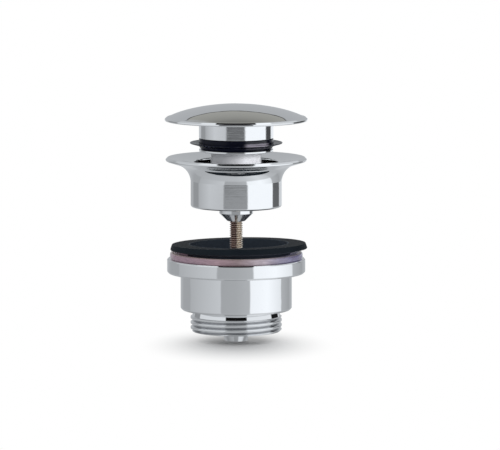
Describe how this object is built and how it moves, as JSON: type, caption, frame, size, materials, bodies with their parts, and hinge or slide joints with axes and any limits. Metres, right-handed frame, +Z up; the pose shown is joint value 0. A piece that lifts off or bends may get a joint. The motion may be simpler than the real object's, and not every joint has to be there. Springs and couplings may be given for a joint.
{
  "type": "pop up basin waste",
  "caption": "Basin waste with a domed mushroom cap on a sprung push-push plunger, a flared flange, a long clamp bolt, seals and a lower body with a threaded tail.",
  "frame": {"origin": "centre of the lower face of the lower body's centre boss, on the waste's axis", "axes": "+Z up along the waste's axis, from the tail to the cap; +X and +Y square to it"},
  "size_m": [0.0654, 0.0654, 0.1088],
  "materials": {
    "chrome_body": "bright chrome plate on cast brass",
    "chrome_flange": "bright chrome plate on turned brass",
    "chrome_plunger": "chrome plate over fine turning lines",
    "chrome_cap": "bright chrome plate on pressed brass",
    "turned_metal": "satin, with turning lines",
    "spring_steel": "plain drawn steel",
    "bronzed_bolt": "brown bronzed brass, rolled thread",
    "black_rubber": "matt moulded rubber",
    "seal_rubber": "semi-gloss moulded rubber",
    "clear_vinyl": "clear soft vinyl with a pink tint",
    "white_acetal": "moulded acetal",
    "grey_acetal": "moulded acetal"
  },
  "bodies": {
    "lower_body": {"waste_body": "chrome_body", "clear_gasket": "clear_vinyl", "rubber_washer": "black_rubber"},
    "upper_flange": {"basin_flange": "chrome_flange", "bolt_washer": "bronzed_bolt", "cartridge_base": "turned_metal", "hub_o_ring": "seal_rubber", "guide_tube": "turned_metal", "track_sleeve": "white_acetal", "top_bush": "white_acetal", "rod_o_ring": "seal_rubber", "bush_circlip": "spring_steel"},
    "clamp_screw": {"clamp_bolt": "bronzed_bolt"},
    "plunger": {"mushroom_cap": "chrome_cap", "plunger_sleeve": "chrome_plunger", "lip_seal": "seal_rubber", "seal_collar": "chrome_plunger", "guide_bush": "white_acetal", "cap_o_ring": "seal_rubber", "push_rod": "turned_metal", "rod_clip": "spring_steel", "spring_seat": "spring_steel", "return_spring": "spring_steel"},
    "indexer": {"index_ring": "grey_acetal"}
  },
  "joints": [
    {"name": "flange_draw", "type": "slide", "parent": "lower_body", "child": "upper_flange", "axis": [0, 0, 1], "range_m": [-0.03, 0]},
    {"name": "bolt_turn", "type": "hinge", "parent": "upper_flange", "child": "clamp_screw", "pos_m": [0, 0, 0.0608], "axis": [0, 0, 1], "range_deg": [-10800, 0]},
    {"name": "plunger_press", "type": "slide", "parent": "upper_flange", "child": "plunger", "axis": [0, 0, 1], "range_m": [-0.0075, 0], "stiffness_N_per_m": 400, "springref_m": 0.01, "deforming": ["return_spring"]},
    {"name": "index_turn", "type": "hinge", "parent": "plunger", "child": "indexer", "pos_m": [0, 0, 0.0854], "axis": [0, 0, 1], "range_deg": [0, 45]}
  ],
  "couplings": [
    {"joint": "bolt_turn", "follows": "flange_draw", "rad_per_m": 6283.2},
    {"joint": "index_turn", "follows": "plunger_press", "rad_per_m": -104.72}
  ]
}
